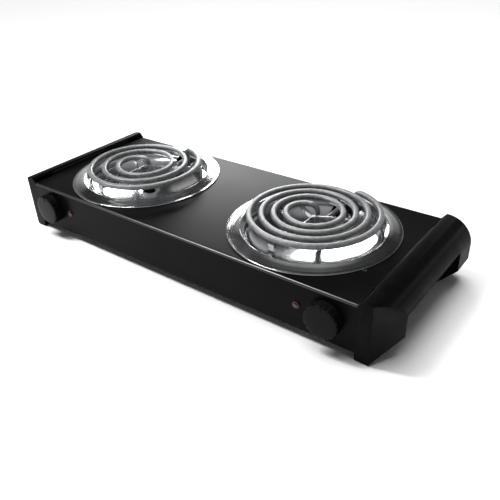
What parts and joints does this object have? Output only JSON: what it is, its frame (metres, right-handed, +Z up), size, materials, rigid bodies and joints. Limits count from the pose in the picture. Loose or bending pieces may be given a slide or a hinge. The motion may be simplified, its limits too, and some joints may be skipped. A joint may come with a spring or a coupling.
{
  "type": "hot plate burner",
  "caption": "Low black electric hot plate with spiral coil burners over chromed drip pans, front control knobs with pilot lamps, and moulded end caps with hand grips.",
  "frame": {"origin": "on the surface it stands on, under the middle of the whole object with its knobs", "axes": "+X to the right seen from the front, +Y to the back, +Z up"},
  "size_m": [0.555, 0.216, 0.0872],
  "materials": {
    "body_enamel": "satin black enamel",
    "black_moulding": "fine moulded grain",
    "polished_chrome": "mirror plated",
    "heating_sheath": "dull oxidised alloy",
    "support_steel": "stamped strip",
    "shield_aluminised": "aluminised sheet",
    "pad_rubber": "matt",
    "knob_plastic": "moulded, low gloss",
    "lamp_lens": "translucent",
    "insulator_ceramic": "unglazed steatite",
    "cutout_phenolic": "phenolic",
    "screw_brass": "plain",
    "wire_green": "sleeve",
    "wire_red": "sleeve",
    "wire_white": "glass sleeve",
    "black_screw": "blackened",
    "zinc_steel": "zinc plated"
  },
  "bodies": {
    "root": {"body_shell": "body_enamel", "base_plate": "zinc_steel", "base_screws": "zinc_steel", "left_end_cap": "black_moulding", "right_end_cap": "black_moulding", "end_cap_screws": "zinc_steel", "foot_pads": "pad_rubber", "left_drip_pan": "polished_chrome", "right_drip_pan": "polished_chrome", "right_pan_pip": "polished_chrome", "left_heat_shield": "shield_aluminised", "right_heat_shield": "shield_aluminised", "left_hinge_bracket": "zinc_steel", "right_hinge_bracket": "zinc_steel", "left_hinge_pin": "zinc_steel", "right_hinge_pin": "zinc_steel", "hinge_bracket_screws": "black_screw", "left_regulator_frame": "zinc_steel", "right_regulator_frame": "zinc_steel", "left_regulator_block": "insulator_ceramic", "right_regulator_block": "insulator_ceramic", "regulator_screws": "zinc_steel", "left_lamp_lens": "lamp_lens", "right_lamp_lens": "lamp_lens", "left_lamp_body": "black_moulding", "right_lamp_body": "black_moulding", "mains_terminal_block": "insulator_ceramic", "terminal_block_screws": "zinc_steel", "thermal_cutout": "cutout_phenolic", "cutout_bracket": "zinc_steel", "cord_gland": "black_moulding", "earth_screw": "screw_brass", "earth_wire": "wire_green", "left_live_wire": "wire_red", "right_live_wire": "wire_red", "left_switched_wire": "wire_white", "right_switched_wire": "wire_white", "left_neutral_wire": "wire_white", "right_neutral_wire": "wire_white"},
    "left_element": {"left_coil": "heating_sheath", "left_coil_support": "support_steel", "left_coil_clamp": "zinc_steel", "left_coil_studs": "zinc_steel"},
    "right_element": {"right_coil": "heating_sheath", "right_coil_support": "support_steel", "right_coil_clamp": "zinc_steel", "right_coil_studs": "zinc_steel"},
    "left_control": {"left_shaft": "zinc_steel", "left_knob": "knob_plastic"},
    "right_control": {"right_shaft": "zinc_steel", "right_knob": "knob_plastic"}
  },
  "joints": [
    {"name": "left_coil_tilt", "type": "hinge", "parent": "root", "child": "left_element", "pos_m": [-0.1315, 0.094, 0.049], "axis": [-1, 0, 0], "range_deg": [0, 8]},
    {"name": "left_knob_turn", "type": "hinge", "parent": "root", "child": "left_control", "pos_m": [-0.209, -0.095, 0.0395], "axis": [0, 1, 0], "range_deg": [0, 300]},
    {"name": "right_coil_tilt", "type": "hinge", "parent": "root", "child": "right_element", "pos_m": [0.1315, 0.094, 0.049], "axis": [-1, 0, 0], "range_deg": [0, 8]},
    {"name": "right_knob_turn", "type": "hinge", "parent": "root", "child": "right_control", "pos_m": [0.209, -0.095, 0.0395], "axis": [0, 1, 0], "range_deg": [0, 300]}
  ]
}
